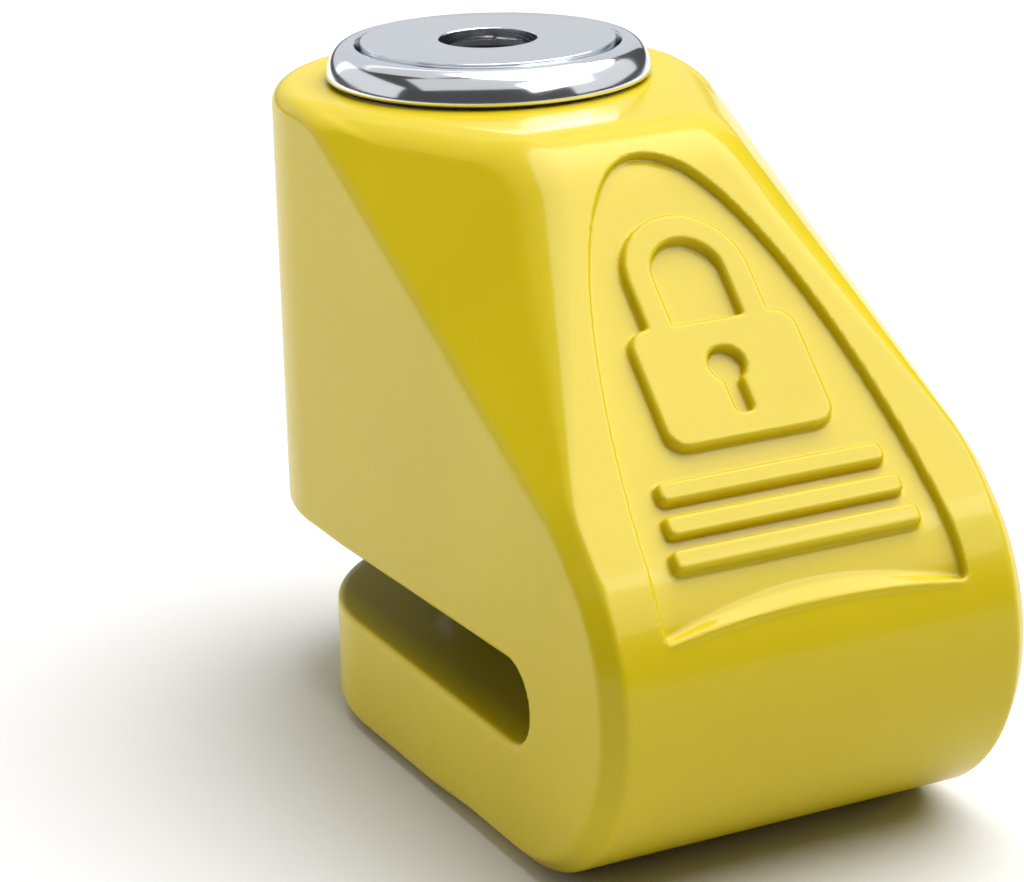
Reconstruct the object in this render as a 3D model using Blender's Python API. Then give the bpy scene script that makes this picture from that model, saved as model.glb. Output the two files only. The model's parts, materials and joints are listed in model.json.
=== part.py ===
"""A disc brake lock for a motorcycle, with a push-down lock cylinder.

A die-cast wedge body has a slot that slides over a brake disc. The lock cylinder is pushed down
in its top, so that a hardened pin crosses the slot through a hole in the disc. A turn of the key
draws a latch bolt in, and a spring lifts the cylinder and its pin.

+X points from the slot's mouth to the rounded nose, and +Z up along the lock cylinder. The origin
is on the lock cylinder's axis, at the flat underside. Sizes are in millimetres, times MM.
"""

import math

import bmesh
import bpy
from mathutils import Matrix, Vector

MM = 0.001
GAP = 0.3

# Housing
WIDTH = 41.6
HALF = WIDTH / 2
TOP = 59.3
SLOPE_SUM = 87.3  # the front slope is the plane where x + z has this value
NOSE_R = 18.2
NOSE_X = 43.3
SHOULDER_R = 12.0
SLOT_FLOOR = 11.1
SLOT_ROOF_MOUTH = 17.0
SLOT_ROOF_END = 18.9
SLOT_MIDDLE = (SLOT_FLOOR + SLOT_ROOF_MOUTH) / 2
SLOT_END_X = 46.8
JAW_END_X = 11.0
FACET_POINT = Vector((8.4, -HALF, 56.1))
FACET_NORMAL = Vector((0.319, -0.732, 0.603))
CUTTER_MARGIN = 5.0  # how far a cutter or guide stands past the surface it cuts

# Panel on the front slope, measured down the slope from the flat top's plane
PANEL_TOP = 2.0
PANEL_BOTTOM = 45.2
PANEL_WIDE = 14.6
PANEL_DEPTH = 0.9
ARCH_FULLNESS = 1.6
SLOPE_START = Vector((SLOPE_SUM - TOP, 0, TOP))
SLOPE_DOWN = Vector((1, 0, -1)).normalized()
SLOPE_OUT = Vector((1, 0, 1)).normalized()

# Raised picture of a padlock and three bars, in the panel's own across and down distances
PICTURE_FACE = -0.05
PADLOCK_HALF = 8.2
PADLOCK_TOP = 19.4
PADLOCK_BOTTOM = 31.0
PADLOCK_CORNER = 2.0
SHACKLE_R = 6.0
SHACKLE_HOLE_R = 3.4
SHACKLE_CENTRE = 14.7
BAR_HALVES = (11.0, 11.5, 12.0)
BAR_TOP = 33.6
BAR_THICK = 1.9
BAR_PITCH = 3.1

# Lock cylinder
BORE_R = 12.6
BORE_FLOOR = 24.4
RECESS_R = 14.5
RECESS_FLOOR = 54.0
TRAVEL = 12.4
BARREL_BOTTOM = 30.4
BARREL_TOP = 61.5
BARREL_R = 12.3
NECK_R = 10.4
SHOULDER_Z = 50.2
CHAMBER_R = 7.6
CHAMBER_FLOOR = 37.0
CAP_TOP = 63.0
CAP_R = 12.2
CAP_WALL = 1.5
CAP_PLATE = 1.2
KEYHOLE_R = 4.7

# Bezel ring: rolled from its crest out to its equator, then curled under
BEZEL_BOTTOM = 56.2
BEZEL_R = 15.6
BEZEL_TOP = 62.75
BEZEL_FLARE = 2.6
BEZEL_CURL = 0.35
BEZEL_CURL_TALL = 0.7
BEZEL_FULLNESS = 0.8

# Wiper seal and circlip
SEAL_R = 13.4
SEAL_Z = 55.1
SEAL_CORD_R = 0.8
CLIP_LOW = 60.0
CLIP_HIGH = 60.5
CLIP_INNER_R = 6.9
CLIP_OUTER_R = 8.1
CLIP_PLAY = 0.15

# Locking pin and its bushes
PIN_R = 5.0
PIN_TIP = 6.4
PIN_TOP = 35.6
BUSH_R = 7.3
BUSH_HOLE_R = 7.6
RECEIVER_FLOOR = 3.9
CROSS_PIN_R = 0.9
CROSS_PIN_HALF = 11.8
CROSS_PIN_Z = 33.0

# Stop pin
STOP_Z = 46.6
STOP_R = 1.5
STOP_DEPTH = 10.2
STOP_NEAR = 10.7
STOP_FAR = 17.5
STOP_PLUG_R = 2.5
STOP_PLUG_NEAR = 17.9
STOP_PLUG_FAR = 20.1

# Key plug, detainer discs and sidebar
PLUG_R = 7.2
PLUG_BORE = 5.9
PLUG_BOTTOM = 42.5
PLUG_TOP = 58.3
PLUG_FLOOR = 0.9
DISC_R = 5.6
DISC_HOLE_R = 4.2
DISC_HOLE_FLAT = 2.9
DISC_THICK = 1.2
SPACER_THICK = 0.5
DISC_PITCH = 2.2
DISC_START = 43.65
DISC_TURNS = (90, 75, 30, 60, 15, 45, 80)  # degrees from the locked place to the sidebar
GATE_DEPTH = 0.8
GATE_HALF_ANGLE = 10
SIDEBAR_HALF = 0.65
SIDEBAR_LOW = 44.5
SIDEBAR_HIGH = 57.9
SIDEBAR_GROOVE_R = 8.6

# Latch
LATCH_BOTTOM = 37.4
LATCH_TOP = 40.4
LATCH_HALF = 3.0
LATCH_TIP = 14.5
LATCH_TAIL = -2.5
LATCH_DRAW = 2.7
CRANK_R = LATCH_DRAW / math.sqrt(2)
CRANK_PIN_R = 0.8
TENON_HALF_LONG = 3.0
TENON_HALF_THICK = 0.7
FORK_PLAY = 0.4

# Springs: mean coil radius, wire radius and the latch spring's reach behind the cylinder's axis
SPRING_TURNS = 3.5
RETURN_COIL_R = 10.4
RETURN_WIRE_R = 0.5
LATCH_COIL_R = 1.3
LATCH_WIRE_R = 0.25
LATCH_SPRING_NEAR = 2.8
LATCH_SPRING_FAR = 7.0

ROUND = 40


def material(name, colour, roughness, metallic=0.0):
    made = bpy.data.materials.new(name)
    made.use_nodes = True
    shader = made.node_tree.nodes["Principled BSDF"]
    shader.inputs["Base Color"].default_value = (*colour, 1.0)
    shader.inputs["Roughness"].default_value = roughness
    shader.inputs["Metallic"].default_value = metallic
    made.diffuse_color = (*colour, 1.0)
    return made


def finish_mesh(name, bm, finish, location=(0, 0, 0)):
    """Closes off a bmesh in millimetres as an object in metres, its origin at location."""
    bmesh.ops.recalc_face_normals(bm, faces=bm.faces)
    bmesh.ops.scale(bm, vec=(MM, MM, MM), verts=bm.verts)
    mesh = bpy.data.meshes.new(name)
    bm.to_mesh(mesh)
    bm.free()
    mesh.shade_smooth()
    mesh.set_sharp_from_angle(angle=math.radians(35))
    made = bpy.data.objects.new(name, mesh)
    made.location = Vector(location) * MM
    bpy.context.collection.objects.link(made)
    if finish is None:
        made.hide_render = True
        made.display_type = "WIRE"
    else:
        mesh.materials.append(finish)
    return made


def turned(name, profile, finish=None, location=(0, 0, 0), steps=ROUND):
    """A turned piece: the profile's (radius, height) points spun about Z."""
    bm = bmesh.new()
    points = [bm.verts.new((r, 0, z)) for r, z in profile]
    edges = [bm.edges.new(pair) for pair in zip(points, points[1:])]
    if profile[0][0] > 0:
        edges.append(bm.edges.new((points[-1], points[0])))
    bmesh.ops.spin(
        bm,
        geom=points + edges,
        cent=(0, 0, 0),
        axis=(0, 0, 1),
        angle=2 * math.pi,
        steps=steps,
        use_merge=True,
    )
    bmesh.ops.remove_doubles(bm, verts=bm.verts, dist=1e-4)
    return finish_mesh(name, bm, finish, location)


def rod(name, radius, low, high, finish=None, location=(0, 0, 0), chamfer=0.0, steps=ROUND):
    profile = [(0, low), (radius - chamfer, low), (radius, low + chamfer)]
    profile += [(radius, high - chamfer), (radius - chamfer, high), (0, high)]
    if not chamfer:
        profile = [(0, low), (radius, low), (radius, high), (0, high)]
    return turned(name, profile, finish, location, steps)


def tube(name, inner, outer, low, high, finish=None, location=(0, 0, 0), steps=ROUND):
    profile = [(inner, low), (outer, low), (outer, high), (inner, high)]
    return turned(name, profile, finish, location, steps)


def prism(name, outline, low, high, finish=None, location=(0, 0, 0), frame=None):
    """An outline in XY extruded from low to high along Z, then placed by the frame matrix."""
    bm = bmesh.new()
    face = bm.faces.new([bm.verts.new((x, y, low)) for x, y in outline])
    grown = bmesh.ops.extrude_face_region(bm, geom=[face])
    verts = [item for item in grown["geom"] if isinstance(item, bmesh.types.BMVert)]
    bmesh.ops.translate(bm, verts=verts, vec=(0, 0, high - low))
    if frame is not None:
        bmesh.ops.transform(bm, matrix=frame, verts=bm.verts)
    return finish_mesh(name, bm, finish, location)


def box(name, low, high, finish=None, location=(0, 0, 0)):
    outline = [(low[0], low[1]), (high[0], low[1]), (high[0], high[1]), (low[0], high[1])]
    return prism(name, outline, low[2], high[2], finish, location)


def arc(centre, radius, start, end, steps):
    """Points on a circle from start to end, in degrees."""
    turns = [math.radians(start + (end - start) * i / steps) for i in range(steps + 1)]
    return [(centre[0] + radius * math.cos(t), centre[1] + radius * math.sin(t)) for t in turns]


def combine(target, other, operation):
    step = target.modifiers.new(operation.lower() + "_" + other.name, "BOOLEAN")
    step.operation = operation
    step.solver = "EXACT"
    step.object = other


def cut(target, *cutters):
    for cutter in cutters:
        combine(target, cutter, "DIFFERENCE")


def join(target, *others):
    for other in others:
        combine(target, other, "UNION")


def coil(name, radius, wire_r, low, high, finish, location=(0, 0, 0), per_turn=14):
    """A round-wire compression spring between two heights along Z."""
    curve = bpy.data.curves.new(name, "CURVE")
    curve.dimensions = "3D"
    curve.bevel_depth = wire_r * MM
    curve.bevel_resolution = 1
    curve.use_fill_caps = True
    spline = curve.splines.new("POLY")
    count = int(SPRING_TURNS * per_turn) + 1
    spline.points.add(count - 1)
    for i, point in enumerate(spline.points):
        share = i / (count - 1)
        turn = 2 * math.pi * SPRING_TURNS * share
        height = low + wire_r + (high - low - 2 * wire_r) * share
        place = Vector((radius * math.cos(turn), radius * math.sin(turn), height)) * MM
        point.co = (*place, 1)
    curve.materials.append(finish)
    made = bpy.data.objects.new(name, curve)
    made.location = Vector(location) * MM
    bpy.context.collection.objects.link(made)
    return made


def polar_plate(name, outer, inner, low, high, finish, steps, extra=()):
    """A flat ring whose outer and inner radii are functions of the angle in degrees."""
    angles = sorted({360 * i / steps for i in range(steps)} | {a % 360 for a in extra})
    bm = bmesh.new()
    loops = []
    for radius, height in ((outer, low), (outer, high), (inner, high), (inner, low)):
        row = []
        for angle in angles:
            turn = math.radians(angle)
            r = radius(angle)
            row.append(bm.verts.new((r * math.cos(turn), r * math.sin(turn), height)))
        loops.append(row)
    for first, second in zip(loops, loops[1:] + loops[:1]):
        for i in range(len(angles)):
            j = (i + 1) % len(angles)
            bm.faces.new((first[i], first[j], second[j], second[i]))
    return finish_mesh(name, bm, finish)


def key_hole_radius(angle):
    """The double-D hole that the key's round blade turns in."""
    side = abs(math.sin(math.radians(angle)))
    return min(DISC_HOLE_R, DISC_HOLE_FLAT / max(side, 1e-6))


def slope_frame():
    """Local X across the panel, local Y down the slope, local Z out of it, from the slope's start."""
    across = SLOPE_DOWN.cross(SLOPE_OUT)
    frame = Matrix.Identity(4)
    for column, axis in enumerate((across, SLOPE_DOWN, SLOPE_OUT)):
        for row in range(3):
            frame[row][column] = axis[row]
    frame.translation = SLOPE_START
    return frame


def side_outline():
    """The housing's outline in X and Z, with the brake disc slot open to the back."""
    half_turn = math.radians(22.5)
    reach = SHOULDER_R * math.tan(half_turn)
    shoulder = arc((SLOPE_START.x - reach, TOP - SHOULDER_R), SHOULDER_R, 90, 45, 5)
    nose = arc((NOSE_X, NOSE_R), NOSE_R, 45, -90, 12)
    slot_r = (SLOT_ROOF_END - SLOT_FLOOR) / 2
    slot_end = arc((SLOT_END_X - slot_r, SLOT_FLOOR + slot_r), slot_r, -90, 90, 8)
    back = -HALF - 1
    outline = [(back, TOP)] + shoulder + nose + [(back, 0), (back, SLOT_FLOOR)]
    return outline + slot_end + [(back, SLOT_ROOF_MOUTH)]


def panel_outline():
    """The arch: narrow and round at the top, widening down to soft lower corners."""
    points = []
    rise = PANEL_BOTTOM - PANEL_TOP
    for i in range(13):
        share = (i / 12) ** 2
        width = PANEL_WIDE * math.sqrt(1 - (1 - share) ** ARCH_FULLNESS)
        points.append((width, PANEL_TOP + rise * share))
    left = [(-x, y) for x, y in reversed(points[1:])]
    return left + points


def facet_cutter(name, side):
    """A block whose face is the oblique facet that narrows the front of the top."""
    normal = Vector((FACET_NORMAL.x, FACET_NORMAL.y * side, FACET_NORMAL.z)).normalized()
    point = Vector((FACET_POINT.x, FACET_POINT.y * side, FACET_POINT.z))
    turn = normal.to_track_quat("Z", "Y").to_matrix().to_4x4()
    reach = 90
    outline = [(-reach, -reach), (reach, -reach), (reach, reach), (-reach, reach)]
    return prism(name, outline, 0, reach, frame=Matrix.Translation(point) @ turn)


def housing_shell(finish):
    """The outer body: side outline, round back, two facets, shorter round lower jaw."""
    upright = Matrix.Rotation(math.radians(90), 4, "X")
    shell = prism("housing", side_outline(), -HALF, HALF, finish, frame=upright)
    far = 80
    plan = arc((0, 0), HALF, 90, 270, 24) + [(far, -HALF), (far, HALF)]
    wide = [(x, y * (1 if abs(y) < HALF else 1.2)) for x, y in plan]
    guide = prism("plan_guide", wide, -CUTTER_MARGIN, TOP + CUTTER_MARGIN)
    combine(shell, guide, "INTERSECT")
    cut(shell, facet_cutter("facet_cutter_left", 1), facet_cutter("facet_cutter_right", -1))
    jaw = arc((JAW_END_X, 0), HALF, 90, 270, 20)
    outer = 30
    jaw_end = [(JAW_END_X, outer)] + jaw + [(JAW_END_X, -outer), (-outer, -outer), (-outer, outer)]
    cut(shell, prism("jaw_end_cutter", jaw_end, -CUTTER_MARGIN, SLOT_MIDDLE))
    return shell


def housing_cutters():
    """Everything that is bored, milled or cast into the housing for the lock cylinder."""
    above = TOP + CUTTER_MARGIN
    profile = [(0, SLOT_MIDDLE), (BUSH_HOLE_R, SLOT_MIDDLE), (BUSH_HOLE_R, BORE_FLOOR)]
    profile += [(BORE_R, BORE_FLOOR), (BORE_R, RECESS_FLOOR), (RECESS_R, RECESS_FLOOR)]
    profile += [(RECESS_R, above), (0, above)]
    bore = turned("bore_cutter", profile)
    receiver = rod("receiver_cutter", BUSH_HOLE_R, RECEIVER_FLOOR, SLOT_FLOOR + 3)
    deep = LATCH_TIP + GAP
    shallow = BORE_R - 0.4
    pocket_low = LATCH_BOTTOM - 0.4
    pocket_high = LATCH_TOP + 0.4
    ramp_top = pocket_high + (deep - shallow) * TRAVEL / LATCH_DRAW
    ramp = [(BORE_R - 2, pocket_low), (deep, pocket_low), (deep, pocket_high)]
    ramp += [(shallow, ramp_top), (BORE_R - 2, ramp_top)]
    upright = Matrix.Rotation(math.radians(90), 4, "X")
    side = LATCH_HALF + 0.4
    pocket = prism("latch_pocket_cutter", ramp, -side, side, frame=upright)
    step = STOP_PLUG_NEAR - 0.2
    wide = STOP_PLUG_R + GAP
    start = BORE_R - CUTTER_MARGIN
    end = HALF + CUTTER_MARGIN
    hole = [(0, start), (STOP_R + GAP, start), (STOP_R + GAP, step), (wide, step), (wide, end), (0, end)]
    stop = turned("stop_hole_cutter", hole, location=(0, 0, STOP_Z), steps=20)
    stop.rotation_euler = (0, math.radians(-90), 0)
    return bore, receiver, pocket, stop


def emblem_shapes():
    """A raised padlock picture and three plain bars on the recessed panel."""
    frame = slope_frame()
    base = -PANEL_DEPTH - 0.5
    chamfered = PADLOCK_BOTTOM - PADLOCK_CORNER
    foot = PADLOCK_HALF - PADLOCK_CORNER
    body = [(-PADLOCK_HALF, PADLOCK_TOP), (PADLOCK_HALF, PADLOCK_TOP), (PADLOCK_HALF, chamfered)]
    body += [(foot, PADLOCK_BOTTOM), (-foot, PADLOCK_BOTTOM), (-PADLOCK_HALF, chamfered)]
    shapes = [prism("emblem_body", body, base, PICTURE_FACE, frame=frame)]
    outer = arc((0, SHACKLE_CENTRE), SHACKLE_R, 180, 360, 12)
    inner = arc((0, SHACKLE_CENTRE), SHACKLE_HOLE_R, 360, 180, 12)
    leg = PADLOCK_TOP + 0.7
    shackle = [(-SHACKLE_R, leg)] + outer + [(SHACKLE_R, leg), (SHACKLE_HOLE_R, leg)] + inner
    shackle += [(-SHACKLE_HOLE_R, leg)]
    shapes.append(prism("emblem_shackle", shackle, base, PICTURE_FACE - 0.05, frame=frame))
    for i, half in enumerate(BAR_HALVES):
        low = BAR_TOP + BAR_PITCH * i
        bar = [(-half, low), (half, low), (half, low + BAR_THICK), (-half, low + BAR_THICK)]
        shapes.append(prism(f"emblem_bar_{i + 1}", bar, base, PICTURE_FACE, frame=frame))
    return shapes


def make_housing(finish):
    shell = housing_shell(finish)
    cut(shell, *housing_cutters())
    cut(shell, prism("panel_cutter", panel_outline(), -PANEL_DEPTH, 6, frame=slope_frame()))
    join(shell, *emblem_shapes())
    return shell


def make_bezel(finish):
    """The chrome ring pressed into the recess: a rolled flange over a plain skirt."""
    inner = CAP_R + 0.5
    skirt = RECESS_R - GAP
    seat = TOP + GAP
    equator = seat + BEZEL_CURL_TALL
    under = arc((0, 0), 1, -90, 0, 3)
    over = [(max(c, 0) ** BEZEL_FULLNESS, d**BEZEL_FULLNESS) for c, d in arc((0, 0), 1, 0, 90, 6)]
    profile = [(inner, BEZEL_BOTTOM), (skirt, BEZEL_BOTTOM), (skirt, seat)]
    profile += [(BEZEL_R - BEZEL_CURL * (1 - c), equator + BEZEL_CURL_TALL * d) for c, d in under]
    crest = BEZEL_R - BEZEL_FLARE
    profile += [(crest + BEZEL_FLARE * c, equator + (BEZEL_TOP - equator) * d) for c, d in over[1:]]
    profile.append((inner, BEZEL_TOP - 0.3))
    return turned("bezel_ring", profile, finish, steps=48)


def make_cap(finish):
    """The chrome cup over the barrel's neck, with the round keyhole."""
    inside = CAP_R - CAP_WALL
    under = CAP_TOP - CAP_PLATE
    low = SHOULDER_Z + 0.4
    edge = 0.25
    lead_in = 0.3
    profile = [(KEYHOLE_R, under), (inside, under), (inside, low), (CAP_R, low), (CAP_R, CAP_TOP - edge)]
    profile += [(CAP_R - edge, CAP_TOP), (KEYHOLE_R + lead_in, CAP_TOP), (KEYHOLE_R, CAP_TOP - lead_in)]
    return turned("cylinder_cap", profile, finish, steps=48)


def cross_hole_cutter(name):
    """The hole for the cross pin, right across the barrel and the locking pin."""
    reach = BARREL_R + CUTTER_MARGIN
    cross = rod(name, CROSS_PIN_R + GAP, -reach, reach, location=(0, 0, CROSS_PIN_Z), steps=14)
    cross.rotation_euler = (math.radians(90), 0, 0)
    return cross


def make_barrel(finish):
    """The cylinder's outer body: the pin's socket below, the plug's chamber and a neck above."""
    groove = CLIP_OUTER_R + GAP
    groove_low = CLIP_LOW - CLIP_PLAY
    groove_high = CLIP_HIGH + CLIP_PLAY
    socket = PIN_R + GAP
    profile = [(0, PIN_TOP + GAP), (socket, PIN_TOP + GAP), (socket, BARREL_BOTTOM)]
    profile += [(BARREL_R, BARREL_BOTTOM), (BARREL_R, SHOULDER_Z), (NECK_R, SHOULDER_Z)]
    profile += [(NECK_R, BARREL_TOP), (CHAMBER_R, BARREL_TOP), (CHAMBER_R, groove_high)]
    profile += [(groove, groove_high), (groove, groove_low), (CHAMBER_R, groove_low)]
    profile += [(CHAMBER_R, CHAMBER_FLOOR), (0, CHAMBER_FLOOR)]
    barrel = turned("barrel", profile, finish)
    slot_low = STOP_Z - STOP_R - GAP - TRAVEL
    side = STOP_R + 0.4
    outside = BARREL_R + CUTTER_MARGIN
    low, high = (-outside, -side, slot_low), (-STOP_DEPTH, side, SHOULDER_Z + 2)
    stop_groove = box("stop_groove_cutter", low, high)
    wide = LATCH_HALF + 0.35
    inside = CHAMBER_R - 2
    low, high = (inside, -wide, CHAMBER_FLOOR + 0.05), (outside, wide, LATCH_TOP + 0.35)
    window = box("latch_window_cutter", low, high)
    room = SIDEBAR_HALF + 0.45
    low, high = (-room, inside, SIDEBAR_LOW - 1.5), (room, SIDEBAR_GROOVE_R, SIDEBAR_HIGH + 0.7)
    sidebar = box("sidebar_groove_cutter", low, high)
    cross = cross_hole_cutter("barrel_cross_cutter")
    cut(barrel, stop_groove, window, sidebar, cross)
    return barrel


def make_locking_pin(finish):
    pin = rod("locking_pin", PIN_R, PIN_TIP, PIN_TOP, finish, chamfer=1.0, steps=32)
    cut(pin, cross_hole_cutter("pin_cross_cutter"))
    return pin


def make_cross_pin(finish):
    half = CROSS_PIN_HALF
    pin = rod("pin_cross_pin", CROSS_PIN_R, -half, half, finish, (0, 0, CROSS_PIN_Z), 0.2, 14)
    pin.rotation_euler = (math.radians(90), 0, 0)
    return pin


def make_plug(finish):
    """The disc carrier that turns with the key: a cup with a sidebar slot and a tenon slot."""
    floor_top = PLUG_BOTTOM + PLUG_FLOOR
    profile = [(0, PLUG_BOTTOM), (PLUG_R, PLUG_BOTTOM), (PLUG_R, PLUG_TOP)]
    profile += [(PLUG_BORE, PLUG_TOP), (PLUG_BORE, floor_top), (0, floor_top)]
    plug = turned("plug", profile, finish, steps=32)
    wide = SIDEBAR_HALF + GAP
    near = PLUG_BORE - 1
    far = PLUG_R + 1
    slot = box("plug_slot_cutter", (-wide, near, SIDEBAR_LOW - GAP), (wide, far, PLUG_TOP + 1))
    long, thick = TENON_HALF_LONG + GAP, TENON_HALF_THICK + GAP
    tenon = box("plug_tenon_cutter", (-long, -thick, PLUG_BOTTOM - 1), (long, thick, floor_top + 0.5))
    cut(plug, slot, tenon)
    return plug


def make_cam(finish):
    """The drive cam: a disc with a tenon up into the plug and a crank pin down into the latch."""
    low = LATCH_TOP + 0.4
    cam = rod("drive_cam", PLUG_R, low, PLUG_BOTTOM - GAP, finish, steps=32)
    tenon_top = PLUG_BOTTOM + PLUG_FLOOR - 0.1
    corner = (TENON_HALF_LONG, TENON_HALF_THICK, tenon_top)
    tenon = box("cam_tenon", (-TENON_HALF_LONG, -TENON_HALF_THICK, low + 0.4), corner)
    crank = rod("cam_crank", CRANK_PIN_R, LATCH_BOTTOM + GAP, low + 0.4, steps=12)
    crank.location = Vector((LATCH_DRAW / 2, -LATCH_DRAW / 2, 0)) * MM
    join(cam, tenon, crank)
    return cam


def make_disc(number, finish):
    gate = 90 + DISC_TURNS[number - 1]

    def outer(angle):
        away = abs((angle - gate + 180) % 360 - 180)
        return DISC_R - GATE_DEPTH if away < GATE_HALF_ANGLE else DISC_R

    low = DISC_START + DISC_PITCH * (number - 1)
    edge = 0.4
    marks = [gate + side * (GATE_HALF_ANGLE + step) for side in (-1, 1) for step in (-edge, edge)]
    return polar_plate(
        f"detainer_disc_{number}", outer, key_hole_radius, low, low + DISC_THICK, finish, 24, marks
    )


def make_spacer(number, finish):
    low = DISC_START + DISC_THICK + 0.25 + DISC_PITCH * (number - 1)

    def round_edge(angle):
        return DISC_R

    def round_hole(angle):
        return DISC_HOLE_R + 0.3

    return polar_plate(f"disc_spacer_{number}", round_edge, round_hole, low, low + SPACER_THICK, finish, 20)


def make_drill_guard(finish):
    low = PLUG_TOP + GAP
    return polar_plate("drill_guard", lambda angle: PLUG_R, key_hole_radius, low, low + 1.1, finish, 32)


def make_sidebar(finish):
    near = PLUG_BORE + 0.1
    far = PLUG_R - 0.1
    shape = [(-SIDEBAR_HALF, near), (SIDEBAR_HALF, near), (SIDEBAR_HALF, far - 0.3), (0.3, far)]
    shape += [(-0.3, far), (-SIDEBAR_HALF, far - 0.3)]
    return prism("sidebar", shape, SIDEBAR_LOW, SIDEBAR_HIGH, finish)


def make_latch(finish):
    """The radial bolt. The crank pin works in the fork in its side."""
    fork_low = LATCH_DRAW / 2 - CRANK_PIN_R - FORK_PLAY
    fork_high = LATCH_DRAW / 2 + CRANK_PIN_R + FORK_PLAY
    root = -LATCH_DRAW / 2 + CRANK_PIN_R + 0.35
    nose = 0.8
    shape = [(LATCH_TAIL, -LATCH_HALF), (fork_low, -LATCH_HALF), (fork_low, root), (fork_high, root)]
    shape += [(fork_high, -LATCH_HALF), (LATCH_TIP - nose, -LATCH_HALF), (LATCH_TIP, -LATCH_HALF + nose)]
    shape += [(LATCH_TIP, LATCH_HALF - nose), (LATCH_TIP - nose, LATCH_HALF), (LATCH_TAIL, LATCH_HALF)]
    return prism("latch_bolt", shape, LATCH_BOTTOM, LATCH_TOP, finish)


def make_circlip(finish):
    """An internal snap ring, open for its assembly gap."""
    shape = arc((0, 0), CLIP_OUTER_R, 20, 340, 26) + arc((0, 0), CLIP_INNER_R, 340, 20, 26)
    return prism("circlip", shape, CLIP_LOW, CLIP_HIGH, finish)


def make_wiper_seal(finish):
    return turned("wiper_seal", arc((SEAL_R, SEAL_Z), SEAL_CORD_R, 0, 315, 7), finish, steps=36)


def make_stop_pin(finish):
    pin = rod("stop_pin", STOP_R, STOP_NEAR, STOP_FAR, finish, (0, 0, STOP_Z), 0.3, 16)
    pin.rotation_euler = (0, math.radians(-90), 0)
    return pin


def make_stop_plug(finish):
    near, far = STOP_PLUG_NEAR, STOP_PLUG_FAR
    plug = rod("stop_pin_plug", STOP_PLUG_R, near, far, finish, (0, 0, STOP_Z), 0.25, 20)
    plug.rotation_euler = (0, math.radians(-90), 0)
    return plug


def make_return_spring(finish):
    """The spring round the locking pin that lifts the cylinder."""
    low = BORE_FLOOR + 0.4
    high = BARREL_BOTTOM - 0.2
    return coil("return_spring", RETURN_COIL_R, RETURN_WIRE_R, low, high, finish)


def make_latch_spring(finish):
    """The spring behind the latch bolt, which pushes it out."""
    place = (0, 0, (LATCH_BOTTOM + LATCH_TOP) / 2)
    near, far = LATCH_SPRING_NEAR, LATCH_SPRING_FAR
    spring = coil("latch_spring", LATCH_COIL_R, LATCH_WIRE_R, near, far, finish, place, per_turn=10)
    spring.rotation_euler = (0, math.radians(-90), 0)
    return spring


def axis_empty(name, location, parent=None):
    """An empty on a joint's axis, which carries the pieces that move about it."""
    made = bpy.data.objects.new(name, None)
    made.empty_display_size = 5 * MM
    made.location = Vector(location) * MM
    bpy.context.collection.objects.link(made)
    if parent:
        hang(made, parent)
    return made


def hang(child, parent):
    """Parents without moving the child in the world. Parents here are only shifted, never turned."""
    bpy.context.view_layer.update()
    place = child.matrix_world.copy()
    child.parent = parent
    child.matrix_parent_inverse = Matrix.Identity(4)
    child.matrix_basis = parent.matrix_world.inverted() @ place


def clear_scene():
    for item in list(bpy.data.objects):
        bpy.data.objects.remove(item, do_unlink=True)


def main():
    clear_scene()
    paint = material("yellow_paint", (0.78, 0.62, 0.03), 0.22)
    chrome = material("chrome", (0.80, 0.82, 0.84), 0.06, 1.0)
    steel = material("plated_steel", (0.55, 0.56, 0.58), 0.30, 1.0)
    hardened = material("hardened_steel", (0.42, 0.42, 0.44), 0.25, 1.0)
    brass = material("brass", (0.72, 0.52, 0.20), 0.32, 1.0)
    spring_steel = material("spring_steel", (0.50, 0.50, 0.50), 0.28, 1.0)
    rubber = material("black_rubber", (0.02, 0.02, 0.02), 0.65)

    make_housing(paint)
    make_bezel(chrome)
    make_wiper_seal(rubber)
    inner = PIN_R + GAP
    tube("guide_bush", inner, BUSH_R, SLOT_ROOF_END - 0.2, BORE_FLOOR - GAP, hardened, steps=32)
    tube("receiver_bush", inner, BUSH_R, RECEIVER_FLOOR + GAP, SLOT_FLOOR - GAP, hardened, steps=32)
    make_stop_pin(hardened)
    make_stop_plug(steel)
    make_return_spring(spring_steel)

    slide = axis_empty("cylinder_slide_axis", (0, 0, BARREL_BOTTOM))
    riders = [make_barrel(steel), make_cap(chrome), make_locking_pin(hardened)]
    riders += [make_cross_pin(hardened), make_circlip(spring_steel), make_latch_spring(spring_steel)]
    for rider in riders:
        hang(rider, slide)

    turn = axis_empty("plug_turn_axis", (0, 0, PLUG_BOTTOM), slide)
    for rider in (make_plug(brass), make_cam(steel), make_drill_guard(hardened), make_sidebar(brass)):
        hang(rider, turn)
    for number in range(1, len(DISC_TURNS)):
        hang(make_spacer(number, brass), turn)
    for number in range(1, len(DISC_TURNS) + 1):
        disc_axis = axis_empty(f"disc_{number}_axis", (0, 0, DISC_START), turn)
        hang(make_disc(number, steel if number % 2 else brass), disc_axis)

    latch_axis = axis_empty("latch_slide_axis", (0, 0, LATCH_BOTTOM), slide)
    hang(make_latch(hardened), latch_axis)


main()
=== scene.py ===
"""Looks for the disc brake lock: a fine painted casting, chrome, turned steel, studio light and camera.

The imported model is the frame. Lengths in the shape code are millimetres, times MM when a mesh is made.
+X points to the nose, +Z up along the lock cylinder, and the origin is on its axis at the underside.
"""

import json
import math

import bmesh
import bpy
import numpy as np
from mathutils import Matrix, Vector


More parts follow.
